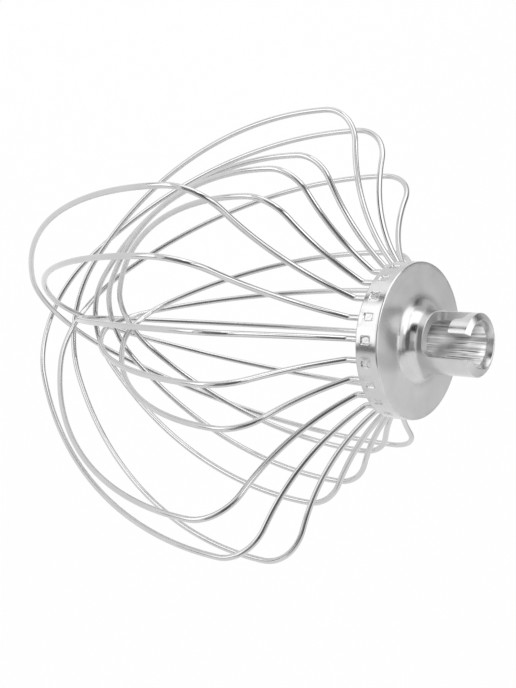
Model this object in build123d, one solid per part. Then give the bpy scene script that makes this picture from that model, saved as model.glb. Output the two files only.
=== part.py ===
from build123d import *
import math
import os

# Mixer drive shaft that the socket takes, in millimetres like every length below
SHAFT_DIAMETER = 12.7
SHAFT_CLEARANCE = 0.15

# Socket: the tube that slides up over the drive shaft; its mouth rises to a crest between a steep
# lead-in on the inside and a shallow bevel on the outside
SOCKET_WALL = 3.0
SOCKET_LENGTH = 20.8
LEAD_IN_WIDTH = 0.95
LEAD_IN_DEPTH = 2.1
MOUTH_BEVEL_DROP = 0.65
MOUTH_EDGE_BREAK = 0.25

# Bayonet slot: lengths run down from the mouth, angles in degrees around the axis
HOOK_LENGTH = 6.8
LEG_WIDTH = 7.8
POCKET_DEPTH = 3.3
ENTRY_SPAN = 46.0
HOOK_SPAN = 33.0
POCKET_SPAN = 39.0
SLOT_CORNER_RADIUS = 2.6
POCKET_CORNER_RADIUS = 1.5
HOOK_TIP_RADIUS = 0.5

# Disc that carries the wires
DISC_DIAMETER = 48.0
DISC_THICKNESS = 7.4
DISC_EDGE_BREAK = 0.4
FLARE_RADIUS = 5.0
BORE_FLOOR = 2.8

# Wire, its blind holes in the back of the disc, and the punch marks that lock it; the first hole lies
# at an angle from the middle of the slot's entry
WIRE_DIAMETER = 1.9
WIRE_CLEARANCE = 0.05
WIRE_END_GAP = 0.1
WIRE_INSET = 2.0
HOLE_FLOOR = 1.9
FIRST_HOLE_ANGLE = -3.0
STAKE_WIDTH = 2.5
STAKE_HEIGHT = 3.2
STAKE_DEPTH = 0.35
STAKE_CORNER_RADIUS = 0.6
STAKE_RISE = 3.4

# Bends of a loop, from the hub out to the shoulder and down to the tip
EXIT_LENGTH = 3.5
HUB_BEND_RADIUS = 2.5
FLARE_ANGLE = 43.0
SHOULDER_RADIUS = 14.0
LARGE_STEEP_ANGLE = 81.5
SMALL_STEEP_ANGLE = 65.0
LARGE_TIP_RADIUS = 40.0
SMALL_TIP_RADIUS = 24.0

# Reach: how far the shoulder of a family's shortest loop stands from the axis, and how it grows with drop
LARGE_REACH = 73.5
SMALL_REACH = 52.8
REACH_GROWTH = 0.18

# Drop from the disc face to the tip of the longest loop, and how much shorter each loop is than that, in
# order around the hub, so that no two tips touch
LONGEST_DROP = 165.0
LOOP_SHORTENINGS = (27.0, 18.0, 3.6, 41.2, 33.0, 24.3, 13.2, 0.0, 15.6, 47.0, 38.6)
LARGE_LOOPS = (1, 2, 6, 7, 8)

# Worked out from the sizes above: Z is zero at the disc face, the socket stands up and the loops hang down
BORE_RADIUS = SHAFT_DIAMETER / 2 + SHAFT_CLEARANCE
SOCKET_RADIUS = BORE_RADIUS + SOCKET_WALL
MOUTH_Z = SOCKET_LENGTH
BACK_Z = -DISC_THICKNESS
BORE_FLOOR_Z = BACK_Z + BORE_FLOOR
DISC_RADIUS = DISC_DIAMETER / 2
WIRE_RADIUS = WIRE_DIAMETER / 2
WIRE_CIRCLE_RADIUS = DISC_RADIUS - WIRE_INSET
HOLE_TOP_Z = -HOLE_FLOOR
LOOP_DROPS = [LONGEST_DROP - shortening for shortening in LOOP_SHORTENINGS]
LOOP_COUNT = len(LOOP_DROPS)
HOLE_STEP = 180.0 / LOOP_COUNT
FRONT_ANGLE = -90.0
CUT_MARGIN = 1.0


def turned_blank():
    """The hub as it leaves the lathe: disc, flare and bored socket."""
    with BuildPart() as blank:
        with BuildSketch(Plane.XZ):
            with BuildLine():
                Polyline(
                    (SOCKET_RADIUS, FLARE_RADIUS),
                    (SOCKET_RADIUS, MOUTH_Z - MOUTH_BEVEL_DROP - MOUTH_EDGE_BREAK),
                    (SOCKET_RADIUS - MOUTH_EDGE_BREAK, MOUTH_Z - MOUTH_BEVEL_DROP),
                    (BORE_RADIUS + LEAD_IN_WIDTH, MOUTH_Z),
                    (BORE_RADIUS, MOUTH_Z - LEAD_IN_DEPTH),
                    (BORE_RADIUS, BORE_FLOOR_Z),
                    (0, BORE_FLOOR_Z),
                    (0, BACK_Z),
                    (DISC_RADIUS - DISC_EDGE_BREAK, BACK_Z),
                    (DISC_RADIUS, BACK_Z + DISC_EDGE_BREAK),
                    (DISC_RADIUS, -DISC_EDGE_BREAK),
                    (DISC_RADIUS - DISC_EDGE_BREAK, 0),
                    (SOCKET_RADIUS + FLARE_RADIUS, 0),
                )
                flare_foot = (SOCKET_RADIUS + FLARE_RADIUS, 0)
                flare_top = (SOCKET_RADIUS, FLARE_RADIUS)
                RadiusArc(flare_foot, flare_top, FLARE_RADIUS)
            make_face()
        revolve(axis=Axis.Z)
    return blank.part


def wall_sector(from_angle, to_angle, low_z, high_z):
    """A sector that cuts right through the socket wall between two angles and two heights."""
    depth = SOCKET_WALL + 2 * CUT_MARGIN
    middle = BORE_RADIUS + SOCKET_WALL / 2
    with BuildPart() as sector:
        with BuildSketch(Plane.XZ):
            with Locations((middle, (low_z + high_z) / 2)):
                Rectangle(depth, high_z - low_z)
        revolve(axis=Axis.Z, revolution_arc=to_angle - from_angle)
    return Rot(0, 0, FRONT_ANGLE + from_angle) * sector.part


def corner_edge(cutter, angle, z):
    """The radial edge of the slot cutter that lies at an angle and a height."""
    turn = math.radians(FRONT_ANGLE + angle)
    middle = BORE_RADIUS + SOCKET_WALL / 2
    corner = Vector(middle * math.cos(turn), middle * math.sin(turn), z)
    return min(cutter.edges(), key=lambda edge: (edge.center() - corner).length)


def bayonet_slot():
    """Cutter for the entry from the mouth, the leg behind the hook, and the pocket where the pin rests."""
    entry_to = ENTRY_SPAN / 2
    entry_from = -ENTRY_SPAN / 2
    pocket_from = entry_from - HOOK_SPAN
    leg_end = pocket_from - POCKET_SPAN
    hook_z = MOUTH_Z - HOOK_LENGTH
    low_z = hook_z - LEG_WIDTH
    pocket_z = hook_z + POCKET_DEPTH
    slot = wall_sector(entry_from, entry_to, low_z, MOUTH_Z + CUT_MARGIN)
    slot += wall_sector(leg_end, entry_to, low_z, hook_z)
    slot += wall_sector(leg_end, pocket_from, low_z, pocket_z)
    slot = slot.clean()
    pocket_round = min(POCKET_CORNER_RADIUS, 0.45 * POCKET_DEPTH)
    rounded_corners = (
        (entry_to, low_z, SLOT_CORNER_RADIUS),
        (leg_end, low_z, SLOT_CORNER_RADIUS),
        (leg_end, pocket_z, pocket_round),
        (pocket_from, pocket_z, pocket_round),
        (pocket_from, hook_z, pocket_round),
        (entry_from, hook_z, HOOK_TIP_RADIUS),
    )
    for angle, z, radius in rounded_corners:
        slot = fillet(corner_edge(slot, angle, z), radius)
    return slot


def wire_hole():
    """Blind hole for one wire end, in the back of the disc."""
    depth = HOLE_TOP_Z - BACK_Z
    hole = Cylinder(WIRE_RADIUS + WIRE_CLEARANCE, depth, align=(Align.CENTER, Align.CENTER, Align.MIN))
    return Pos(WIRE_CIRCLE_RADIUS, 0, BACK_Z) * hole


def stake_mark():
    """Shallow rounded dent that the punch leaves on the rim where it locks one wire."""
    with BuildPart() as mark:
        with BuildSketch(Plane.YZ.offset(DISC_RADIUS - STAKE_DEPTH)):
            with Locations((0, BACK_Z + STAKE_RISE)):
                RectangleRounded(STAKE_WIDTH, STAKE_HEIGHT, STAKE_CORNER_RADIUS)
        extrude(amount=STAKE_DEPTH + CUT_MARGIN)
    return mark.part


def make_hub():
    """Turned blank with its bayonet slot, a hole for each wire end and a mark for each hole."""
    hub = turned_blank() - bayonet_slot()
    for index in range(2 * LOOP_COUNT):
        turn = Rot(0, 0, FRONT_ANGLE + FIRST_HOLE_ANGLE + index * HOLE_STEP)
        hub -= [turn * wire_hole(), turn * stake_mark()]
    return hub


def loop_reach(index):
    """Longer loops of a family stand a little further out than its shortest one."""
    large = index in LARGE_LOOPS
    family = [drop for i, drop in enumerate(LOOP_DROPS) if (i in LARGE_LOOPS) == large]
    shortest_reach = LARGE_REACH if large else SMALL_REACH
    return shortest_reach + REACH_GROWTH * (LOOP_DROPS[index] - min(family))


def make_loop(index):
    """One wire: out of its hole, out to the shoulder, down past the axis and back the same way."""
    large = index in LARGE_LOOPS
    steep = LARGE_STEEP_ANGLE if large else SMALL_STEEP_ANGLE
    tip_radius = LARGE_TIP_RADIUS if large else SMALL_TIP_RADIUS
    reach = loop_reach(index)
    tip_z = -LOOP_DROPS[index]

    # The flare's radius is what carries the wire from its hub bend out to the shoulder
    flare_cos = math.cos(math.radians(FLARE_ANGLE))
    steep_cos = math.cos(math.radians(steep))
    bends = HUB_BEND_RADIUS * (1 - flare_cos) + SHOULDER_RADIUS * (1 - steep_cos)
    flare_radius = (reach - WIRE_CIRCLE_RADIUS - bends) / (flare_cos - steep_cos)

    with BuildLine(Plane.XZ) as path:
        seat_top = (WIRE_CIRCLE_RADIUS, HOLE_TOP_Z - WIRE_END_GAP)
        seat = Line(seat_top, (WIRE_CIRCLE_RADIUS, BACK_Z - EXIT_LENGTH))
        bend = JernArc(seat @ 1, seat % 1, HUB_BEND_RADIUS, FLARE_ANGLE)
        flare = JernArc(bend @ 1, bend % 1, flare_radius, steep - FLARE_ANGLE)
        shoulder = JernArc(flare @ 1, flare % 1, SHOULDER_RADIUS, -steep)

        # The side is the one arc that leaves the shoulder straight down and meets the tip's arc
        fall = (shoulder @ 1).Z - tip_z - tip_radius
        side_radius = (fall**2 + reach**2 - tip_radius**2) / (2 * (reach - tip_radius))
        side_angle = math.degrees(math.atan2(fall, side_radius - reach))
        side = JernArc(shoulder @ 1, shoulder % 1, side_radius, -side_angle)
        JernArc(side @ 1, side % 1, tip_radius, side_angle - 90)
        mirror(about=Plane.YZ)

    wire = path.wire()
    with BuildPart() as loop:
        with BuildSketch(Plane(wire @ 0, z_dir=wire % 0)):
            Circle(WIRE_RADIUS)
        sweep(path=wire)
    return Rot(0, 0, FRONT_ANGLE + FIRST_HOLE_ANGLE - index * HOLE_STEP) * loop.part


os.makedirs("parts", exist_ok=True)

# The hub is one piece of metal, written as two simple solids that meet where the flare runs into the tube
hub = make_hub()
hub_seam = Plane.XY.offset(FLARE_RADIUS)
export_step(split(hub, bisect_by=hub_seam, keep=Keep.TOP), "parts/hub_socket.step")
export_step(split(hub, bisect_by=hub_seam, keep=Keep.BOTTOM), "parts/hub_disc.step")
for number in range(LOOP_COUNT):
    export_step(make_loop(number), f"parts/wire_loop_{number + 1:02d}.step")
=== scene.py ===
import math

import bmesh
import bpy
import numpy as np
from mathutils import Matrix, Vector
from mathutils.geometry import delaunay_2d_cdt


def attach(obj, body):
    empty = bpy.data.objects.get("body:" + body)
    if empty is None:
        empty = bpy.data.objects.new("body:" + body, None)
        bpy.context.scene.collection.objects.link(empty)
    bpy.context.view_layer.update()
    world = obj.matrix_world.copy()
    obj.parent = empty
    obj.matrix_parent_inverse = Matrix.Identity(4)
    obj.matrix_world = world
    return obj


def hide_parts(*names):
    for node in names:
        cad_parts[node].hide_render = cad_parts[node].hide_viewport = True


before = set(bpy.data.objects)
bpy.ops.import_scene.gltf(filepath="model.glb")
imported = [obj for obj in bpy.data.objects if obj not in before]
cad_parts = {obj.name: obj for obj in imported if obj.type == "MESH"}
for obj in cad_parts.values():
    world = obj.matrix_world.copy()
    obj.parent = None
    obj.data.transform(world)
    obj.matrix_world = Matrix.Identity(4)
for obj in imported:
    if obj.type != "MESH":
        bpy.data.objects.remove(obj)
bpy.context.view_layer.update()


# Hub
# One piece of aluminium, turned on a lathe: a disc that carries the wires, a flare, and a socket bored to
# slide up over the mixer's drive shaft. A hooked slot milled through the socket wall catches the shaft's
# cross pin, and a punch mark on the rim locks each wire end in its blind hole.

# Sizes are in millimetres, heights run from the disc's face, and turns are degrees from the slot's middle
MM = 0.001
BORE_RADIUS = 6.5
BORE_FLOOR_Z = -4.6
FLOOR_RING = 3.5
SOCKET_RADIUS = 9.5
LEAD_FOOT_Z = 18.7

# Mouth of the socket from its outer edge over the crest and down the lead-in to the bore: radius, height
MOUTH = (
    (SOCKET_RADIUS, 19.9),
    (9.25, 20.15),
    (7.58, 20.753),
    (7.40, 20.689),
    (BORE_RADIUS, LEAD_FOOT_Z),
)
CREST_LINES = (2, 3)
# The same line on the slot's walls, set in by the broken edge
MOUTH_ON_WALL = ((9.32, 19.83), (9.20, 19.98), (7.59, 20.56), (7.52, 20.55))
# How much nearer to the bore the crest runs beside the entry's right side, and the turns over which that ends
CREST_DRIFT = 0.70
DRIFT_FROM, DRIFT_TO = 85.0, 122.0

# Corners of the slot from the right side of its entry round to the left: turn, height, radius
SLOT_CORNERS = (
    (23.0, LEAD_FOOT_Z, 0.0),
    (23.0, 6.2, 2.6),
    (-95.0, 6.2, 2.6),
    (-95.0, 17.3, 1.485),
    (-56.0, 17.3, 1.485),
    (-56.0, 14.0, 1.485),
    (-23.0, 14.0, 0.5),
    (-23.0, LEAD_FOOT_Z, 0.0),
)
SLOT_EDGE = 0.18
SLOT_PITCH = 0.28
CORNER_STEPS = 8
# Turn at which the mouth's columns stand upright again beside the entry's flat side
LEAN_END = 75.0
# Room that the mesh of the socket's skins and mouth leaves beside the slot, in millimetres and in degrees
SKIN_ROOM, MOUTH_ROOM = 0.3, 1.0
OUTER_ROWS, BORE_ROWS = 10, 12
# Triangulation: only what the loops enclose is filled, and points this close are one
INSIDE_LOOPS, SAME_POINT = 1, 1e-6

FLARE_RADIUS = 5.0
# Degrees of the flare's arc before its polished foot, and the power by which the foot flattens
FLARE_ARC = 65.0
FLARE_EASE = 5
FLARE_STEPS, FOOT_STEPS = 12, 14
DISC_RADIUS = 24.0
DISC_BACK_Z = -7.4
DISC_EDGE = 0.4
EDGE_STEPS = 5
FACE_RINGS = (18.5, 20.0, 21.5, 22.8)

# Blind holes for the wire ends, and the punch mark on the rim over each
WIRE_CIRCLE = 22.0
HOLE_RADIUS = 1.0
HOLE_MOUTH_RADIUS = 1.15
HOLE_MOUTH_DEPTH = 0.2
HOLE_TOP_Z = -1.9
HOLE_SIDES = 24
HOLE_COUNT = 22
HOLE_STEP = 360.0 / HOLE_COUNT
FIRST_HOLE = -3.0
MARK_WIDTH = 2.5
MARK_HEIGHT = 3.2
MARK_CORNER = 0.6
MARK_DEPTH = 0.35
MARK_LIP = 0.04
MARK_Z = DISC_BACK_Z + 3.4
# Distances from a mark's outline, negative inside, over which its wall sinks and its lip rises and falls
MARK_SLOPE, LIP_RISE, LIP_FALL = (0.06, -0.3), (-0.02, 0.12), (0.15, 0.55)
# Share of a mark's depth from which a face counts as struck, and how far below the rim a point may lie
STRUCK_FROM, RIM_SLACK = 0.35, 0.008
# Mesh columns and rows on either side of a mark's middle, close together where its edge lies
MARK_COLUMNS = (0.45, 0.85, 1.0, 1.12, 1.25, 1.4, 1.6, 2.1, 2.75)
MARK_ROWS = (0.5, 1.0, 1.25, 1.4, 1.52, 1.64, 1.78, 2.05, 2.7)

# Finishes of the hub, in the order of its material slots; the punch marks add a fifth
TURNED, BORED, MILLED, LED_IN = 0, 1, 2, 3


def at(turn, radius, z):
    """A point at a turn, a radius and a height."""
    angle = math.radians(turn)
    return Vector((radius * math.sin(angle), -radius * math.cos(angle), z))


def hub_turns():
    """Turns of the hub's mesh columns, close together over each punch mark and wide between marks."""
    seam = FIRST_HOLE - 180.0 + HOLE_STEP / 2
    turns = []
    for number in range(HOLE_COUNT):
        middle = seam + HOLE_STEP * (number + 0.5)
        turns += [middle - HOLE_STEP / 2, middle]
        for offset in MARK_COLUMNS:
            step = math.degrees(offset / DISC_RADIUS)
            turns += [middle - step, middle + step]
    return sorted(turns)


def spin_profile(bm, turns, profile, finish):
    """Turns a profile of radius and height round the axis; a radius of zero closes to a single point."""
    rings = []
    for radius, z in profile:
        ring_turns = turns if radius else turns[:1]
        rings.append([bm.verts.new(at(turn, radius, z)) for turn in ring_turns])
    count = len(turns)
    for upper, lower in zip(rings, rings[1:]):
        for i in range(count):
            j = (i + 1) % count
            corners = [upper[i % len(upper)], upper[j % len(upper)]]
            corners += [lower[j % len(lower)], lower[i % len(lower)]]
            bm.faces.new(list(dict.fromkeys(corners))).material_index = finish


def slot_outline():
    """Turn, height and way into the metal along the slot's edge, from one side of its entry to the other."""
    middle = (BORE_RADIUS + SOCKET_RADIUS) / 2
    corners = [(math.radians(turn) * middle, z, radius) for turn, z, radius in SLOT_CORNERS]
    path = [corners[0][:2]]

    def run_to(end):
        """Goes on along a straight line."""
        start = path[-1]
        count = max(1, round(math.dist(start, end) / SLOT_PITCH))
        path.extend(
            (start[0] + (end[0] - start[0]) * i / count, start[1] + (end[1] - start[1]) * i / count)
            for i in range(1, count + 1)
        )

    for before, corner, after in zip(corners, corners[1:], corners[2:]):
        point = Vector(corner[:2])
        into = (point - Vector(before[:2])).normalized()
        out = (Vector(after[:2]) - point).normalized()
        radius = corner[2]
        run_to(tuple(point - into * radius))
        side = Vector((-into.y, into.x))
        if side.dot(out) < 0:
            side = -side
        centre = point - into * radius + side * radius
        for i in range(1, CORNER_STEPS + 1):
            angle = math.pi / 2 * i / CORNER_STEPS
            path.append(tuple(centre - side * radius * math.cos(angle) + into * radius * math.sin(angle)))
    run_to(corners[-1][:2])

    outline = []
    for i, (x, z) in enumerate(path):
        ahead = Vector(path[min(i + 1, len(path) - 1)])
        behind = Vector(path[max(i - 1, 0)])
        along = (ahead - behind).normalized()
        outline.append((math.degrees(x / middle), z, -along.y, along.x))
    return outline


def on_wall(turn, radius):
    """Turn of the slot's wall at a radius. The entry's right side is flat, parallel to the slot's middle."""
    if turn <= 0.0:
        return turn
    return math.degrees(math.asin(SOCKET_RADIUS * math.sin(math.radians(turn)) / radius))


def mouth_turn(turn, radius):
    """Turn at which a column of the mouth meets a ring; columns beside the entry lean with its flat side."""
    entry = SLOT_CORNERS[0][0]
    end = on_wall(entry, radius) + math.degrees(SLOT_EDGE / radius)
    start = entry + math.degrees(SLOT_EDGE / SOCKET_RADIUS)
    left = min(1.0, max(0.0, (LEAN_END - turn) / (LEAN_END - start)))
    return turn + (end - start) * left


def mouth_line(number, turn):
    """Radius and height of one line of the mouth, whose crest runs nearer to the bore beside the entry."""
    radius, z = MOUTH[number]
    if number in CREST_LINES:
        left = min(1.0, max(0.0, (DRIFT_TO - turn) / (DRIFT_TO - DRIFT_FROM)))
        radius -= CREST_DRIFT * left * left * (3.0 - 2.0 * left)
    return radius, z


def socket_skin(bm, turns, mouth_turns, edge, radius, foot_z, top_z, rows, finish):
    """One cylindrical face of the socket with the slot left open, unrolled, filled and rolled up again."""
    seam = turns[0]
    whole = seam + 360.0
    slack = 0.01
    mouth_left = [(t - 360.0, top_z) for t in reversed(mouth_turns) if t > whole - slack]
    mouth_right = [(mouth_turn(t, radius), top_z) for t in reversed(mouth_turns) if t < whole + slack]
    levels = [foot_z + (top_z - foot_z) * i / rows for i in range(1, rows)]
    border = list(edge) + mouth_left
    border += [(seam, z) for z in reversed(levels)]
    border += [(t, foot_z) for t in turns] + [(whole, foot_z)]
    border += [(whole, z) for z in levels] + mouth_right
    rim = np.array([(math.radians(t) * radius, z) for t, z in border])
    inside = []
    for turn in turns[1::2]:
        for z in levels:
            nearest = np.hypot(rim[:, 0] - math.radians(turn) * radius, rim[:, 1] - z).min()
            if nearest > SKIN_ROOM:
                inside.append((turn, z))
    flat = [Vector((math.radians(t) * radius, z)) for t, z in border + inside]
    loop = [(i, (i + 1) % len(border)) for i in range(len(border))]
    points, _, faces, _, _, _ = delaunay_2d_cdt(flat, loop, [], INSIDE_LOOPS, SAME_POINT)
    corners = [bm.verts.new(at(math.degrees(p.x / radius), radius, p.y)) for p in points]
    for face in faces:
        bm.faces.new([corners[i] for i in face]).material_index = finish


def bridge(bm, first, second, finish):
    """Faces between two open lines of as many points."""
    for i in range(len(first) - 1):
        bm.faces.new([first[i], first[i + 1], second[i + 1], second[i]]).material_index = finish


def cut_socket(bm, turns):
    """Socket wall: outer and bored faces, the mouth between them, and the milled faces of the slot."""
    outline = slot_outline()
    outer, inner, rows = [], [], ([], [], [], [])
    for turn, z, side, up in outline:
        outer.append((turn + math.degrees(side * SLOT_EDGE / SOCKET_RADIUS), z + up * SLOT_EDGE))
        bored = on_wall(turn, BORE_RADIUS)
        inner.append((bored + math.degrees(side * SLOT_EDGE / BORE_RADIUS), z + up * SLOT_EDGE))
        rows[0].append(at(outer[-1][0], SOCKET_RADIUS, outer[-1][1]))
        for row, radius in ((rows[1], SOCKET_RADIUS - SLOT_EDGE), (rows[2], BORE_RADIUS + SLOT_EDGE)):
            row.append(at(on_wall(turn, radius), radius, z))
        rows[3].append(at(inner[-1][0], BORE_RADIUS, inner[-1][1]))
    rings = [[bm.verts.new(point) for point in row] for row in rows]
    for first, second in zip(rings, rings[1:]):
        bridge(bm, first, second, MILLED)

    # Each side of the entry ends in the mouth's profile, with the slot's broken edge carried along it
    ends = []
    for i in (0, -1):
        turn, _, side, _ = outline[i]
        surface, wall = [], []
        for k in range(len(MOUTH) - 1):
            r, z = mouth_line(k, turn % 360.0)
            surface.append(bm.verts.new(at(on_wall(turn, r) + math.degrees(side * SLOT_EDGE / r), r, z)))
            r, z = MOUTH_ON_WALL[k][0] + r - MOUTH[k][0], MOUTH_ON_WALL[k][1]
            wall.append(bm.verts.new(at(on_wall(turn, r), r, z)))
        surface.append(rings[3][i])
        wall.append(rings[2][i])
        edge_out, edge_in = [rings[0][i]] + surface, [rings[1][i]] + wall
        bridge(bm, edge_out, edge_in, MILLED)
        bm.faces.new(edge_in).material_index = MILLED
        ends.append(surface)

    # The mouth's own rings run from one side of the entry round the back to the other
    right, left = outer[0][0] + MOUTH_ROOM, outer[-1][0] + 360.0 - MOUTH_ROOM
    mouth_turns = [t for t in turns + [t + 360.0 for t in turns] if right < t < left]
    lines = []
    for k in range(len(MOUTH)):
        ring = []
        for turn in mouth_turns:
            radius, z = mouth_line(k, turn)
            ring.append(bm.verts.new(at(mouth_turn(turn, radius), radius, z)))
        lines.append([ends[0][k]] + ring + [ends[1][k]])
    for first, second in zip(lines, lines[1:]):
        bridge(bm, first, second, LED_IN if second is lines[-1] else TURNED)
    lip = MOUTH[0][1]
    outer = [(outer[0][0], lip)] + outer + [(outer[-1][0], lip)]
    socket_skin(bm, turns, mouth_turns, outer, SOCKET_RADIUS, FLARE_RADIUS, lip, OUTER_ROWS, TURNED)
    socket_skin(bm, turns, mouth_turns, inner, BORE_RADIUS, BORE_FLOOR_Z, LEAD_FOOT_Z, BORE_ROWS, BORED)


def hole_ring(centre, radius, z):
    """Points round a wire hole."""
    angles = [2 * math.pi * i / HOLE_SIDES for i in range(HOLE_SIDES)]
    return [Vector((centre.x + radius * math.cos(a), centre.y + radius * math.sin(a), z)) for a in angles]


def drill_back(bm, turns):
    """Back of the disc with its ring of blind wire holes, each with a small countersink."""
    flat = [at(turn, DISC_RADIUS - DISC_EDGE, DISC_BACK_Z).to_2d() for turn in turns]
    loops = [(i, (i + 1) % len(flat)) for i in range(len(flat))]
    centres = [at(FIRST_HOLE + HOLE_STEP * k, WIRE_CIRCLE, DISC_BACK_Z) for k in range(HOLE_COUNT)]
    for centre in centres:
        start = len(flat)
        flat += [point.to_2d() for point in hole_ring(centre, HOLE_MOUTH_RADIUS, DISC_BACK_Z)]
        loops += [(start + i, start + (i + 1) % HOLE_SIDES) for i in range(HOLE_SIDES)]
    points, _, faces, _, _, _ = delaunay_2d_cdt(flat, loops, [], INSIDE_LOOPS, SAME_POINT)
    corners = [bm.verts.new((p.x, p.y, DISC_BACK_Z)) for p in points]
    for face in faces:
        middle = sum((points[i] for i in face), Vector((0, 0))) / len(face)
        if all((middle - centre.to_2d()).length > HOLE_MOUTH_RADIUS for centre in centres):
            bm.faces.new([corners[i] for i in face]).material_index = TURNED
    countersink = (
        (HOLE_MOUTH_RADIUS, DISC_BACK_Z),
        (HOLE_RADIUS, DISC_BACK_Z + HOLE_MOUTH_DEPTH),
        (HOLE_RADIUS, HOLE_TOP_Z),
    )
    for centre in centres:
        rings = [[bm.verts.new(p) for p in hole_ring(centre, radius, z)] for radius, z in countersink]
        for first, second in zip(rings, rings[1:]):
            bridge(bm, first + first[:1], second + second[:1], MILLED)
        bm.faces.new(rings[-1]).material_index = MILLED


def broken_edge(centre_z, start):
    """Rounded edge of the disc: a quarter turn of its profile, from a start angle, going down."""
    angles = [math.radians(start - 90.0 * i / EDGE_STEPS) for i in range(EDGE_STEPS + 1)]
    centre_r = DISC_RADIUS - DISC_EDGE
    return [(centre_r + DISC_EDGE * math.cos(a), centre_z + DISC_EDGE * math.sin(a)) for a in angles]


def flare_profile():
    """Radius and height down the flare, whose foot is polished out into the face and flattens slowly."""
    profile = []
    for i in range(FLARE_STEPS + 1):
        angle = math.radians(FLARE_ARC * i / FLARE_STEPS)
        radius = SOCKET_RADIUS + FLARE_RADIUS - FLARE_RADIUS * math.cos(angle)
        profile.append((radius, FLARE_RADIUS - FLARE_RADIUS * math.sin(angle)))
    foot_r, foot_z = profile[-1]
    reach = FLARE_EASE * foot_z * math.tan(math.radians(FLARE_ARC))
    for i in range(1, FOOT_STEPS + 1):
        left = 1.0 - i / FOOT_STEPS
        profile.append((foot_r + reach * (1.0 - left), foot_z * left ** FLARE_EASE))
    return profile


def make_hub():
    """The whole hub as one closed mesh, with a plain rim that the punch marks are pressed into later."""
    bm = bmesh.new()
    turns = hub_turns()
    face = [(radius, 0.0) for radius in FACE_RINGS]
    rows = [*reversed(MARK_ROWS), 0.0, *(-step for step in MARK_ROWS)]
    rim = [(DISC_RADIUS, MARK_Z + row) for row in rows]
    top_edge, low_edge = broken_edge(-DISC_EDGE, 90.0), broken_edge(DISC_BACK_Z + DISC_EDGE, 0.0)
    spin_profile(bm, turns, flare_profile() + face + top_edge + rim + low_edge, TURNED)
    spin_profile(bm, turns, [(radius, BORE_FLOOR_Z) for radius in (BORE_RADIUS, FLOOR_RING, 0.0)], BORED)
    cut_socket(bm, turns)
    drill_back(bm, turns)
    bmesh.ops.remove_doubles(bm, verts=bm.verts, dist=0.002)
    bmesh.ops.dissolve_degenerate(bm, edges=bm.edges, dist=0.0005)
    bmesh.ops.recalc_face_normals(bm, faces=bm.faces)
    bmesh.ops.scale(bm, vec=(MM, MM, MM), verts=bm.verts)
    mesh = bpy.data.meshes.new("hub")
    bm.to_mesh(mesh)
    bm.free()
    return mesh


hub_mesh = make_hub()
hub = bpy.data.objects.new("hub", hub_mesh)
bpy.context.scene.collection.objects.link(hub)


def place(tree, kind, inputs=None, **settings):
    """Adds a node, sets its options, and joins or sets its inputs by name or number."""
    node = tree.nodes.new(kind)
    for name, value in settings.items():
        setattr(node, name, value)
    for key, value in (inputs or {}).items():
        socket = node.inputs[key]
        if isinstance(value, bpy.types.NodeSocket):
            tree.links.new(value, socket)
        else:
            socket.default_value = value
    return node


def maths(tree, operation, *values, clamp=False):
    """A math node on plain numbers or other nodes' outputs; gives its output."""
    inputs = dict(enumerate(values))
    return place(tree, "ShaderNodeMath", inputs, operation=operation, use_clamp=clamp).outputs[0]


def blend(tree, first, share, second, clamp=False):
    """Adds up two values, the first with its share of the whole and the second with the rest."""
    parts = maths(tree, "MULTIPLY", first, share), maths(tree, "MULTIPLY", second, 1.0 - share)
    return maths(tree, "ADD", *parts, clamp=clamp)


def spread(tree, value, low, high, to_low=0.0, to_high=1.0, **settings):
    """Stretches a value, so that its span from low to high becomes the span from to_low to to_high."""
    inputs = {"Value": value, "From Min": low, "From Max": high, "To Min": to_low, "To Max": to_high}
    return place(tree, "ShaderNodeMapRange", inputs, **settings).outputs[0]


def noise(tree, vector, scale, detail, **inputs):
    """A noise pattern on the given coordinates; gives its value."""
    inputs |= {"Vector": vector, "Scale": scale, "Detail": detail}
    return place(tree, "ShaderNodeTexNoise", inputs).outputs["Fac"]


def on_piece(tree):
    """The piece's own coordinates, in metres."""
    return place(tree, "ShaderNodeTexCoord").outputs["Object"]


def add_socket(tree, way, name, kind, value=None):
    """Gives a tree a named input or output, with its starting value if it has one."""
    socket = tree.interface.new_socket(name, in_out=way, socket_type="NodeSocket" + kind)
    if value is not None:
        socket.default_value = value


def turning_marks():
    """Rings that a lathe tool leaves: height and tone that follow the distance from the axis and along it."""
    group = bpy.data.node_groups.new("turning_marks", "ShaderNodeTree")
    add_socket(group, "INPUT", "Pitch", "Float", 0.3)
    add_socket(group, "INPUT", "Waver", "Float", 0.02)
    add_socket(group, "OUTPUT", "Height", "Float")
    add_socket(group, "OUTPUT", "Tone", "Float")
    size = place(group, "NodeGroupInput").outputs
    x, y, z = place(group, "ShaderNodeSeparateXYZ", {0: on_piece(group)}).outputs
    squares = maths(group, "ADD", maths(group, "MULTIPLY", x, x), maths(group, "MULTIPLY", y, y))
    radius = maths(group, "MULTIPLY", maths(group, "SQRT", squares), 1 / MM)
    height = maths(group, "MULTIPLY", z, 1 / MM)
    drift = maths(group, "MULTIPLY", size["Waver"], 1 / MM)
    waver = maths(group, "MULTIPLY", maths(group, "ADD", x, y), drift)
    rings = place(group, "ShaderNodeCombineXYZ", {"X": radius, "Y": height, "Z": waver}).outputs[0]
    pitch = maths(group, "DIVIDE", 1.0, size["Pitch"])
    fine = noise(group, rings, pitch, 1.0, Roughness=0.5)
    broad = noise(group, rings, maths(group, "MULTIPLY", pitch, 0.13), 1.0)
    place(group, "NodeGroupOutput", {"Height": fine, "Tone": blend(group, fine, 0.55, broad)})
    return group


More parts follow.
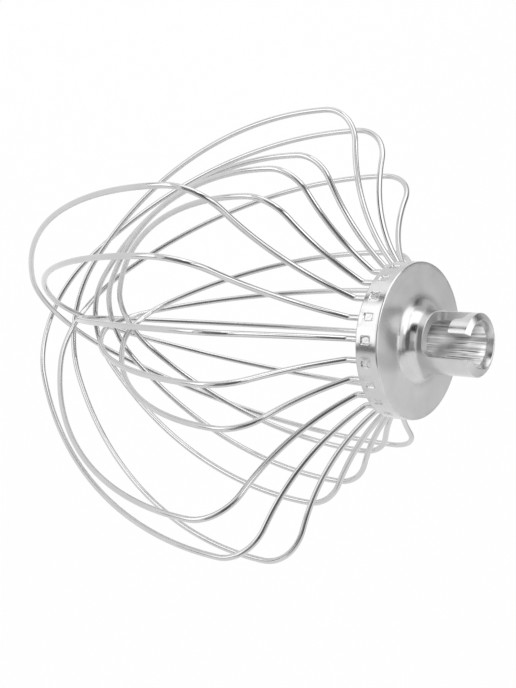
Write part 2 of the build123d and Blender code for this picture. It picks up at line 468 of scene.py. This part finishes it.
def handling_haze():
    """Faint cloudy patches that washing and handling leave on bare metal."""
    group = bpy.data.node_groups.new("handling_haze", "ShaderNodeTree")
    add_socket(group, "INPUT", "Patch", "Float", 9.0)
    add_socket(group, "OUTPUT", "Haze", "Float")
    size = place(group, "NodeGroupInput").outputs
    scale = maths(group, "DIVIDE", 1 / MM, size["Patch"])
    cloud = noise(group, on_piece(group), scale, 2.0, Roughness=0.5, Distortion=0.3)
    place(group, "NodeGroupOutput", {"Haze": spread(group, cloud, 0.35, 0.68)})
    return group


marks_group = turning_marks()
haze_group = handling_haze()


def metal(name, dark, light, smooth, rough, bump, marks, faced=0.0, bare=1.0):
    """A metal whose tone, roughness and fine relief come from its own marks and from the shared haze.
    Faced is how much rougher its flat end faces are, and bare how little dull oxide is on it."""
    material = bpy.data.materials.new(name)
    material.use_nodes = True
    tree = material.node_tree
    shader = tree.nodes["Principled BSDF"]
    shader.inputs["Metallic"].default_value = bare
    tone, height = marks(tree)
    haze = place(tree, "ShaderNodeGroup", node_tree=haze_group).outputs["Haze"]
    ends = {0: blend(tree, tone, 0.6, haze, clamp=True), 6: (*dark, 1.0), 7: (*light, 1.0)}
    colour = place(tree, "ShaderNodeMix", ends, data_type="RGBA").outputs[2]
    tree.links.new(colour, shader.inputs["Base Color"])
    gloss = spread(tree, blend(tree, tone, 0.5, haze, clamp=True), 0.0, 1.0, smooth, rough)
    if faced:
        normal = place(tree, "ShaderNodeTexCoord").outputs["Normal"]
        level = maths(tree, "ABSOLUTE", place(tree, "ShaderNodeSeparateXYZ", {0: normal}).outputs["Z"])
        # The rougher share grows from nothing at about 22 degrees of slope to all of it on the flat
        flat = spread(tree, level, 0.93, 0.9995, interpolation_type="SMOOTHSTEP")
        gloss = maths(tree, "ADD", gloss, maths(tree, "MULTIPLY", flat, faced))
    tree.links.new(gloss, shader.inputs["Roughness"])
    relief = place(tree, "ShaderNodeBump", {"Strength": 1.0, "Distance": bump * MM, "Height": height})
    tree.links.new(relief.outputs[0], shader.inputs["Normal"])
    return material


def lathe_rings(pitch, waver):
    """Marks of a lathe tool with its own pitch, and with rings that waver as much as the tool shook."""
    def read(tree):
        """Tone and height of the rings."""
        marks = place(tree, "ShaderNodeGroup", node_tree=marks_group)
        marks.inputs["Pitch"].default_value = pitch
        marks.inputs["Waver"].default_value = waver
        return marks.outputs["Tone"], marks.outputs["Height"]
    return read


def cutter_chatter(tree):
    """Short close ridges of a milling cutter across the slot's faces, on a slightly mottled ground."""
    position = on_piece(tree)
    ridges = noise(tree, position, 2600.0, 2.0)
    ground = noise(tree, position, 500.0, 3.0)
    return ground, ridges


def punch_grain(tree):
    """Uneven floor that the worn face of the punch leaves in each mark."""
    grain = noise(tree, on_piece(tree), 1300.0, 2.0)
    return spread(tree, grain, 0.36, 0.60), grain


def bore_streaks_and_painted_reflections(tree):
    """Fine streaks along the bore, worn by the shaft sliding in and out; their dark and light lines are
    painted reflection.
    """
    stretched = {"Vector": on_piece(tree), "Scale": (1.0, 1.0, 0.04)}
    along = place(tree, "ShaderNodeMapping", stretched).outputs[0]
    broad = noise(tree, along, 800.0, 2.0)
    fine = noise(tree, along, 2400.0, 2.0)
    bands = spread(tree, broad, 0.40, 0.58, to_low=0.35)
    lines = spread(tree, fine, 0.37, 0.45)
    return maths(tree, "MINIMUM", bands, lines), fine


hub_mesh.materials.append(metal(
    "hub_turned", dark=(0.53, 0.53, 0.535), light=(0.69, 0.69, 0.69), smooth=0.17, rough=0.26,
    bump=0.0012, marks=lathe_rings(pitch=0.6, waver=0.02), faced=0.10))
# The bore's colour runs from near black to near white: a painted reflection of its surroundings laid over its
# wear streaks
hub_mesh.materials.append(metal(
    "hub_bored", dark=(0.03, 0.03, 0.03), light=(0.98, 0.98, 0.98), smooth=0.30, rough=0.45,
    bump=0.010, marks=bore_streaks_and_painted_reflections, bare=0.25))
hub_mesh.materials.append(metal(
    "hub_milled", dark=(0.52, 0.52, 0.525), light=(0.70, 0.70, 0.70), smooth=0.40, rough=0.52,
    bump=0.008, marks=cutter_chatter))
hub_mesh.materials.append(metal(
    "hub_led_in", dark=(0.56, 0.56, 0.565), light=(0.68, 0.68, 0.68), smooth=0.24, rough=0.33,
    bump=0.002, marks=lathe_rings(pitch=0.35, waver=0.02)))
hub_struck = metal(
    "hub_struck", dark=(0.42, 0.42, 0.425), light=(0.72, 0.72, 0.72), smooth=0.18, rough=0.32,
    bump=0.08, marks=punch_grain)


def punch_tree():
    """Presses a rounded mark into the rim over each wire end and gives the struck faces their own finish."""
    tree = bpy.data.node_groups.new("punch_marks", "GeometryNodeTree")
    add_socket(tree, "INPUT", "Geometry", "Geometry")
    add_socket(tree, "INPUT", "Marks", "Int", HOLE_COUNT)
    add_socket(tree, "INPUT", "First Turn", "Float", math.radians(FIRST_HOLE))
    add_socket(tree, "INPUT", "Disc Radius", "Float", DISC_RADIUS * MM)
    add_socket(tree, "INPUT", "Mark Z", "Float", MARK_Z * MM)
    add_socket(tree, "INPUT", "Width", "Float", MARK_WIDTH * MM)
    add_socket(tree, "INPUT", "Height", "Float", MARK_HEIGHT * MM)
    add_socket(tree, "INPUT", "Corner", "Float", MARK_CORNER * MM)
    add_socket(tree, "INPUT", "Depth", "Float", MARK_DEPTH * MM)
    add_socket(tree, "INPUT", "Lip", "Float", MARK_LIP * MM)
    add_socket(tree, "INPUT", "Finish", "Material")
    add_socket(tree, "OUTPUT", "Geometry", "Geometry")
    size = place(tree, "NodeGroupInput").outputs

    # How far each point of the rim lies from the middle of its nearest mark, round the rim and up or down
    position = place(tree, "GeometryNodeInputPosition").outputs[0]
    axes = place(tree, "ShaderNodeSeparateXYZ", {0: position}).outputs
    level = place(tree, "ShaderNodeCombineXYZ", {"X": axes["X"], "Y": axes["Y"]}).outputs[0]
    radius = place(tree, "ShaderNodeVectorMath", {0: level}, operation="LENGTH").outputs["Value"]
    outward = place(tree, "ShaderNodeVectorMath", {0: level}, operation="NORMALIZE").outputs[0]
    turn = maths(tree, "ARCTAN2", axes["X"], maths(tree, "MULTIPLY", axes["Y"], -1.0))
    step = maths(tree, "DIVIDE", 2 * math.pi, size["Marks"])
    steps = maths(tree, "DIVIDE", maths(tree, "SUBTRACT", turn, size["First Turn"]), step)
    from_mark = maths(tree, "SUBTRACT", steps, maths(tree, "ROUND", steps))
    arc = maths(tree, "MULTIPLY", maths(tree, "MULTIPLY", from_mark, step), size["Disc Radius"])
    across = maths(tree, "ABSOLUTE", arc)
    along = maths(tree, "ABSOLUTE", maths(tree, "SUBTRACT", axes["Z"], size["Mark Z"]))

    def past(distance, whole):
        """How far a point lies beyond the straight part of a side or an end."""
        straight = maths(tree, "SUBTRACT", maths(tree, "MULTIPLY", whole, 0.5), size["Corner"])
        return maths(tree, "SUBTRACT", distance, straight)

    # Distance from the mark's rounded outline, negative inside it
    past_side = past(across, size["Width"])
    past_end = past(along, size["Height"])
    beyond = {"X": maths(tree, "MAXIMUM", past_side, 0.0), "Y": maths(tree, "MAXIMUM", past_end, 0.0)}
    corner = place(tree, "ShaderNodeCombineXYZ", beyond).outputs[0]
    outside = place(tree, "ShaderNodeVectorMath", {0: corner}, operation="LENGTH").outputs["Value"]
    inside = maths(tree, "MINIMUM", maths(tree, "MAXIMUM", past_side, past_end), 0.0)
    distance = maths(tree, "SUBTRACT", maths(tree, "ADD", outside, inside), size["Corner"])

    def ease(start, end):
        """Nothing up to one distance and all of it from another, with a soft change between them."""
        return spread(tree, distance, start * MM, end * MM, interpolation_type="SMOOTHSTEP")

    # The punch sinks the mark and raises a low lip round it
    struck = ease(*MARK_SLOPE)
    dent = maths(tree, "MULTIPLY", struck, size["Depth"])
    raised = maths(tree, "SUBTRACT", ease(*LIP_RISE), ease(*LIP_FALL))
    push = maths(tree, "SUBTRACT", maths(tree, "MULTIPLY", raised, size["Lip"]), dent)
    offset = place(tree, "ShaderNodeVectorMath", {0: outward, "Scale": push}, operation="SCALE").outputs[0]
    rim = maths(tree, "SUBTRACT", size["Disc Radius"], RIM_SLACK * MM)
    on_rim = maths(tree, "GREATER_THAN", radius, rim)
    sunk = maths(tree, "MULTIPLY", struck, on_rim)
    strike = {"Geometry": size["Geometry"], "Name": "struck", "Value": sunk}
    marked = place(tree, "GeometryNodeStoreNamedAttribute", strike, data_type="FLOAT", domain="FACE")
    press = {"Geometry": marked.outputs[0], "Selection": on_rim, "Offset": offset}
    pressed = place(tree, "GeometryNodeSetPosition", press)
    whole = place(tree, "GeometryNodeRealizeInstances", {0: pressed.outputs[0]})
    kept = place(tree, "GeometryNodeInputNamedAttribute", {"Name": "struck"}, data_type="FLOAT").outputs[0]
    hit = maths(tree, "GREATER_THAN", kept, STRUCK_FROM)
    finish = {"Geometry": whole.outputs[0], "Selection": hit, "Material": size["Finish"]}
    finished = place(tree, "GeometryNodeSetMaterial", finish)
    place(tree, "NodeGroupOutput", {0: finished.outputs[0]})
    return tree


def settle(piece, tree, values):
    """Runs a tree on a piece with its named inputs and keeps the result as a plain mesh."""
    modifier = piece.modifiers.new(tree.name, "NODES")
    modifier.node_group = tree
    for item in tree.interface.items_tree:
        if item.in_out == "INPUT" and item.name in values:
            modifier[item.identifier] = values[item.name]
    graph = bpy.context.evaluated_depsgraph_get()
    shaped = piece.evaluated_get(graph)
    mesh = bpy.data.meshes.new_from_object(shaped, preserve_all_data_layers=True, depsgraph=graph)
    piece.modifiers.clear()
    return mesh


hub.data = settle(hub, punch_tree(), {"Finish": hub_struck})
hub.data.name = "hub"
hub.data.shade_smooth()
hub.data.set_sharp_from_angle(angle=math.radians(28))
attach(hub, "root")
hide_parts("hub_disc", "hub_socket")


# Wire loops
# Eleven loops of drawn stainless wire, five large and six small, each bent out of one length. Both ends of
# a loop stand in opposite holes of the hub, where the punch marks lock them. The wire flares out to a
# shoulder, and the tips cross on the axis, each at its own depth.
WIRE_RADIUS = 0.95
WIRE_SIDES = 24
# A wire stops just short of its hole's end and runs on straight below the hub before its first bend
WIRE_TOP_Z = HOLE_TOP_Z - 0.1
HUB_EXIT_Z = DISC_BACK_Z - 3.5
SEAT_STEPS = 4
# Radii of the bends at the hub, shoulder and tip, steepest angles of the flare, and reach from the axis
HUB_BEND = 2.5
FLARE_TURN = 43.0
SHOULDER_BEND = 14.0
LARGE_STEEP, SMALL_STEEP = 81.5, 65.0
LARGE_TIP, SMALL_TIP = 40.0, 24.0
LARGE_REACH, SMALL_REACH = 73.5, 52.8
REACH_GROWTH = 0.18
# Drop from the disc's face to each loop's tip, in order round the hub, and which of the loops are large
LOOP_DROPS = (138.0, 147.0, 161.4, 123.8, 132.0, 140.7, 151.8, 165.0, 149.4, 118.0, 126.4)
LARGE_LOOPS = (1, 2, 6, 7, 8)
# Longest straight step along a bend, its widest turn, and the fewest steps in a bend
STEP_LENGTH, STEP_TURN, FEWEST_STEPS = 1.9, 4.5, 6


def loop_half(number):
    """Radius and height along half a loop, from its end in the hub to its tip on the axis."""
    large = number in LARGE_LOOPS
    steep = LARGE_STEEP if large else SMALL_STEEP
    tip = LARGE_TIP if large else SMALL_TIP
    shortest = min(drop for i, drop in enumerate(LOOP_DROPS) if (i in LARGE_LOOPS) == large)
    reach = (LARGE_REACH if large else SMALL_REACH) + REACH_GROWTH * (LOOP_DROPS[number] - shortest)
    seat = HUB_EXIT_Z - WIRE_TOP_Z
    path = [(WIRE_CIRCLE, WIRE_TOP_Z + seat * i / SEAT_STEPS) for i in range(SEAT_STEPS + 1)]

    def bend(radius, start, end):
        """Goes on along an arc; angles are in degrees from straight down, outwards positive."""
        r, z = path[-1]
        way = 1.0 if end > start else -1.0
        turned = abs(end - start)
        arc = radius * math.radians(turned)
        count = max(FEWEST_STEPS, math.ceil(max(arc / STEP_LENGTH, turned / STEP_TURN)))
        a = math.radians(start)
        for i in range(1, count + 1):
            b = math.radians(start + (end - start) * i / count)
            out, down = math.cos(a) - math.cos(b), math.sin(b) - math.sin(a)
            path.append((r + way * radius * out, z - way * radius * down))

    # The flare's radius is what carries the wire from its hub bend out to the shoulder
    flare_cos, steep_cos = math.cos(math.radians(FLARE_TURN)), math.cos(math.radians(steep))
    bends = HUB_BEND * (1 - flare_cos) + SHOULDER_BEND * (1 - steep_cos)
    bend(HUB_BEND, 0.0, FLARE_TURN)
    bend((reach - WIRE_CIRCLE - bends) / (flare_cos - steep_cos), FLARE_TURN, steep)
    bend(SHOULDER_BEND, steep, 0.0)

    # The side is the one arc that leaves the shoulder straight down and meets the tip's arc
    fall = path[-1][1] + LOOP_DROPS[number] - tip
    side = (fall ** 2 + reach ** 2 - tip ** 2) / (2 * (reach - tip))
    lean = math.degrees(math.atan2(fall, side - reach))
    bend(side, 0.0, -lean)
    bend(tip, -lean, -90.0)
    return path


def wire_tree():
    """Draws a round wire along a path and keeps how far along and how far round each point lies."""
    tree = bpy.data.node_groups.new("drawn_wire", "GeometryNodeTree")
    add_socket(tree, "INPUT", "Geometry", "Geometry")
    add_socket(tree, "INPUT", "Wire Radius", "Float", WIRE_RADIUS * MM)
    add_socket(tree, "INPUT", "Sides", "Int", WIRE_SIDES)
    add_socket(tree, "INPUT", "Finish", "Material")
    add_socket(tree, "OUTPUT", "Geometry", "Geometry")
    size = place(tree, "NodeGroupInput").outputs
    run = place(tree, "GeometryNodeSplineParameter").outputs["Length"]
    measure = {"Geometry": size["Geometry"], "Name": "along", "Value": run}
    path = place(tree, "GeometryNodeStoreNamedAttribute", measure, data_type="FLOAT", domain="POINT")
    circle = {"Resolution": size["Sides"], "Radius": size["Wire Radius"]}
    ring = place(tree, "GeometryNodeCurvePrimitiveCircle", circle)
    share = place(tree, "GeometryNodeSplineParameter").outputs["Factor"]
    turn = maths(tree, "MULTIPLY", share, 2 * math.pi)
    spoke = {"X": maths(tree, "COSINE", turn), "Y": maths(tree, "SINE", turn)}
    compass = place(tree, "ShaderNodeCombineXYZ", spoke).outputs[0]
    bearing = {"Geometry": ring.outputs[0], "Name": "round", "Value": compass}
    section = place(
        tree, "GeometryNodeStoreNamedAttribute", bearing, data_type="FLOAT_VECTOR", domain="POINT")
    draw = {"Curve": path.outputs[0], "Profile Curve": section.outputs[0], "Fill Caps": True}
    drawn = place(tree, "GeometryNodeCurveToMesh", draw)
    smooth = place(tree, "GeometryNodeSetShadeSmooth", {"Geometry": drawn.outputs[0]})
    whole = place(tree, "GeometryNodeRealizeInstances", {0: smooth.outputs[0]})
    finish = {"Geometry": whole.outputs[0], "Material": size["Finish"]}
    finished = place(tree, "GeometryNodeSetMaterial", finish)
    place(tree, "NodeGroupOutput", {0: finished.outputs[0]})
    return tree


def drawing_lines(tree):
    """Fine lines that the drawing die leaves along a wire, long in its direction and narrow round it."""
    along = place(tree, "ShaderNodeAttribute", attribute_name="along").outputs["Fac"]
    compass = place(tree, "ShaderNodeAttribute", attribute_name="round").outputs["Vector"]
    spoke = place(tree, "ShaderNodeSeparateXYZ", {0: compass}).outputs
    stretched = {"X": spoke["X"], "Y": spoke["Y"], "Z": maths(tree, "MULTIPLY", along, 9.0)}
    line = place(tree, "ShaderNodeCombineXYZ", stretched).outputs[0]
    fine = noise(tree, line, 5.0, 2.0)
    broad = noise(tree, line, 2.0, 2.0)
    return blend(tree, fine, 0.6, broad), fine


wire_metal = metal(
    "wire_drawn", dark=(0.56, 0.56, 0.565), light=(0.66, 0.66, 0.66), smooth=0.06, rough=0.16,
    bump=0.001, marks=drawing_lines)
wire_nodes = wire_tree()
wires = []
for number in range(len(LOOP_DROPS)):
    half = loop_half(number)
    turn = FIRST_HOLE - HOLE_STEP * number
    points = [at(turn, r, z) for r, z in half] + [at(turn, -r, z) for r, z in reversed(half[:-1])]
    curve = bpy.data.curves.new("loop_path", "CURVE")
    curve.dimensions = "3D"
    spline = curve.splines.new("POLY")
    spline.points.add(len(points) - 1)
    for dot, point in zip(spline.points, points):
        dot.co = (*(point * MM), 1.0)
    path = bpy.data.objects.new("loop_path", curve)
    bpy.context.scene.collection.objects.link(path)
    name = f"wire_{number + 1:02d}"
    mesh = settle(path, wire_nodes, {"Finish": wire_metal})
    mesh.name = name
    bpy.data.objects.remove(path)
    wire = bpy.data.objects.new(name, mesh)
    bpy.context.scene.collection.objects.link(wire)
    mesh.set_sharp_from_angle(angle=math.radians(40))
    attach(wire, "root")
    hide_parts(f"wire_loop_{number + 1:02d}")
    wires.append(wire)


# Studio
# A plain white floor well below the hanging whisk, a soft lamp, a small lamp for the bore, and white, grey
# and dark cards that only the metal mirrors, which draw the bands on the wires, the rim and the flare.
FLOOR_Z = -0.30
FLOOR_SIZE = 8.0
# Share of the floor that the camera and the metal see as plain white; the rest is paper with the shadow on it
WHITE_SHARE = 0.86


def bare_material(name):
    """A material with no shader yet, and its node tree."""
    material = bpy.data.materials.new(name)
    material.use_nodes = True
    material.node_tree.nodes.remove(material.node_tree.nodes["Principled BSDF"])
    return material, material.node_tree


def white_ground(name):
    """White paper, clear from below."""
    material, tree = bare_material(name)
    rays = place(tree, "ShaderNodeLightPath").outputs
    mirrored = maths(tree, "MAXIMUM", rays["Is Glossy Ray"], rays["Is Transmission Ray"])
    seen = maths(tree, "MAXIMUM", rays["Is Camera Ray"], mirrored)
    share = maths(tree, "MULTIPLY", seen, WHITE_SHARE)
    paper = place(tree, "ShaderNodeBsdfDiffuse", {"Color": (0.9, 0.9, 0.9, 1.0)})
    glow = place(tree, "ShaderNodeEmission", {"Color": (1.0, 1.0, 1.0, 1.0), "Strength": 1.0})
    both = place(tree, "ShaderNodeMixShader", {0: share, 1: paper.outputs[0], 2: glow.outputs[0]})
    below = place(tree, "ShaderNodeNewGeometry").outputs["Backfacing"]
    clear = place(tree, "ShaderNodeBsdfTransparent")
    one_sided = place(tree, "ShaderNodeMixShader", {0: below, 1: both.outputs[0], 2: clear.outputs[0]})
    tree.links.new(one_sided.outputs[0], tree.nodes["Material Output"].inputs["Surface"])
    return material


def card_shade(name, level, cover=1.0):
    """A card's plain tone; cover is how much of what lies behind the card it hides."""
    material, tree = bare_material(name)
    glow = place(tree, "ShaderNodeEmission", {"Color": (level, level, level, 1.0), "Strength": 1.0})
    gauze = place(tree, "ShaderNodeBsdfTransparent")
    both = place(tree, "ShaderNodeMixShader", {0: cover, 1: gauze.outputs[0], 2: glow.outputs[0]})
    tree.links.new(both.outputs[0], tree.nodes["Material Output"].inputs["Surface"])
    return material


def stage_piece(name, points, faces, material):
    """A mesh that stands in the studio and is no part of the whisk."""
    mesh = bpy.data.meshes.new(name)
    mesh.from_pydata(points, [], faces)
    mesh.materials.append(material)
    piece = bpy.data.objects.new(name, mesh)
    bpy.context.scene.collection.objects.link(piece)
    return piece


def panel(name, width, height, place_at, look_at, material):
    """A flat card, turned so that its face looks at a point."""
    w, h = width / 2, height / 2
    card = stage_piece(name, [(-w, -h, 0), (w, -h, 0), (w, h, 0), (-w, h, 0)], [(0, 1, 2, 3)], material)
    card.location = place_at
    card.rotation_euler = (Vector(look_at) - Vector(place_at)).to_track_quat("Z", "Y").to_euler()
    return card


def toward(turn, rise, distance):
    """A point seen from the hub at a turn from the front and a rise above level, in degrees."""
    side = at(turn, distance * math.cos(math.radians(rise)), 0.0)
    return Vector((side.x, side.y, distance * math.sin(math.radians(rise))))


def only_mirrored(card):
    """Keeps a card and its shadow out of the picture, and its light off plain surfaces."""
    card.visible_camera = False
    card.visible_shadow = False
    card.visible_diffuse = False


panel("floor", FLOOR_SIZE, FLOOR_SIZE, (0, 0, FLOOR_Z), (0, 0, 1), white_ground("floor_paper"))


def pieces_of(name, pieces):
    """A group of pieces that the light of a card or a lamp can be kept to."""
    group = bpy.data.collections.new(name)
    for piece in pieces:
        group.objects.link(piece)
    return group


hub_alone = pieces_of("hub_alone", [hub])
wires_alone = pieces_of("wires_alone", wires)


def reflector(name, turn, rise, wide, tall, level, distance=1.6, cover=1.0, lights=None):
    """A card that the metal mirrors; its spans are angles seen from the hub.
    Where it lights only some pieces, it is a dark flag to the others."""
    width, height = (2 * distance * math.tan(math.radians(span / 2)) for span in (wide, tall))
    shade = card_shade(name, level, cover)
    card = panel(name, width, height, toward(turn, rise, distance), (0, 0, 0), shade)
    only_mirrored(card)
    if lights:
        card.light_linking.receiver_collection = lights


def table_edge(name, turn, near, far, level, start=48.0, span=170.0, distance=1.5, count=60):
    """A narrow dark ring to one side, like the far edge of a table top that bright metal mirrors as a line.
    Near and far are its angles from the ring's middle; start and span say how much of it there is."""
    points, faces = [], []
    axis = toward(turn, 0, 1.0)
    across = Vector((0, 0, 1)).cross(axis)
    for i in range(count + 1):
        around = math.radians(start + span * i / count)
        spoke = across * math.cos(around) + Vector((0, 0, math.sin(around)))
        for angle in (near, far):
            a = math.radians(angle)
            points.append((axis * math.cos(a) + spoke * math.sin(a)) * distance)
        if i:
            faces.append((2 * i - 2, 2 * i - 1, 2 * i + 1, 2 * i))
    only_mirrored(stage_piece(name, points, faces, card_shade(name, level)))


# Broad cards of the room; gap_front is lit for the wires alone and is a dark gap to the hub
table_edge("table_edge", turn=99.7, near=71, far=78, level=0.03)
reflector("softbox_side", turn=-88, rise=8, wide=46, tall=62, level=1.8)
reflector("softbox_over", turn=-146, rise=58.5, wide=70, tall=39, level=1.7)
reflector("gap_front", turn=-46, rise=6, wide=31, tall=62, level=0.85, lights=wires_alone)
reflector("gap_over", turn=-158, rise=33, wide=38, tall=8, level=0.05, distance=1.5)
reflector("wall_back", turn=-160, rise=12, wide=76, tall=52, level=0.62)
reflector("wall_back_edge", turn=-160, rise=13, wide=90, tall=64, level=0.62, distance=1.65, cover=0.55)
reflector("wall_back_fade", turn=-160, rise=14, wide=106, tall=76, level=0.62, distance=1.7, cover=0.3)
reflector("wall_core", turn=-154, rise=31, wide=40, tall=46, level=0.24, distance=1.58, cover=0.8)
reflector("room_front", turn=10, rise=20, wide=28, tall=50, level=0.40)
reflector("camera_side", turn=-8, rise=43, wide=54, tall=34, level=0.15, distance=1.5)

# Cards for the hub alone, which soften what its flare and socket mirror
reflector("flag_front", turn=-19, rise=15, wide=29, tall=26, level=0.65, distance=1.55, cover=0.85,
          lights=hub_alone)
reflector("flag_side", turn=-74, rise=48, wide=42, tall=14, level=1.25, distance=1.5, cover=0.88,
          lights=hub_alone)
reflector("flag_table", turn=43, rise=30, wide=26, tall=60, level=1.0, distance=1.55, cover=0.5,
          lights=hub_alone)
# A card overhead for all of the metal
reflector("room_over", turn=20, rise=70, wide=40, tall=18, level=0.5)

# Low cards close by, bright with dark gaps between, which draw the bands on the rim
reflector("card_low", turn=-27, rise=-36, wide=54, tall=24, level=1.8, distance=0.42)
reflector("card_low_left", turn=-78, rise=-33, wide=20, tall=26, level=1.35, distance=0.42)
reflector("gap_low", turn=11, rise=-34, wide=8, tall=28, level=0.0, distance=0.40)
reflector("gap_low_left", turn=-62, rise=-33, wide=9, tall=28, level=0.0, distance=0.40)

world = bpy.data.worlds.new("studio")
bpy.context.scene.world = world
world.use_nodes = True
world.node_tree.nodes["Background"].inputs["Color"].default_value = (1.0, 1.0, 1.0, 1.0)


def disk_lamp(name, place_at, size, energy):
    """A round soft lamp that looks at the hub."""
    light = bpy.data.lights.new(name, "AREA")
    light.shape = "DISK"
    light.size = size
    light.energy = energy
    lamp = bpy.data.objects.new(name, light)
    bpy.context.scene.collection.objects.link(lamp)
    lamp.location = place_at
    lamp.rotation_euler = (-lamp.location).to_track_quat("-Z", "Y").to_euler()
    return lamp


disk_lamp("soft_lamp", place_at=(-0.9, -0.4, 1.3), size=1.2, energy=4.0)
# Light that falls into the bore past the hook; the metal outside mirrors the cards and not this lamp
bore_lamp = disk_lamp("bore_lamp", place_at=toward(turn=-36, rise=41, distance=1.0), size=0.22, energy=12)
bore_lamp.visible_glossy = False
bore_lamp.light_linking.receiver_collection = hub_alone


# Camera
# The photograph looks down on the socket's side with the whisk lying across the frame, so the camera is
# rolled about a quarter turn. Its place, turn and lens were fitted to the hub's outlines and the wires.
CAMERA_PLACE = (-0.027446, -0.311279, 0.186945)
CAMERA_RIGHT = (-0.017182, 0.626421, 0.779295)
CAMERA_UP = (-0.996585, 0.052229, -0.063956)
CAMERA_BACK = (-0.080765, -0.777733, 0.623384)
FOCAL_PIXELS = 1197.97
PICTURE_HEIGHT = 688.0
SENSOR = 36.0

camera = bpy.data.cameras.new("camera")
camera.sensor_width = SENSOR
camera.lens = FOCAL_PIXELS * SENSOR / PICTURE_HEIGHT
camera.clip_start = 0.01
camera.clip_end = 50.0
view_from = bpy.data.objects.new("camera", camera)
bpy.context.scene.collection.objects.link(view_from)
facing = Matrix((CAMERA_RIGHT, CAMERA_UP, CAMERA_BACK)).transposed().to_4x4()
view_from.matrix_world = Matrix.Translation(CAMERA_PLACE) @ facing
bpy.context.scene.camera = view_from
bpy.context.scene.view_settings.view_transform = "Standard"
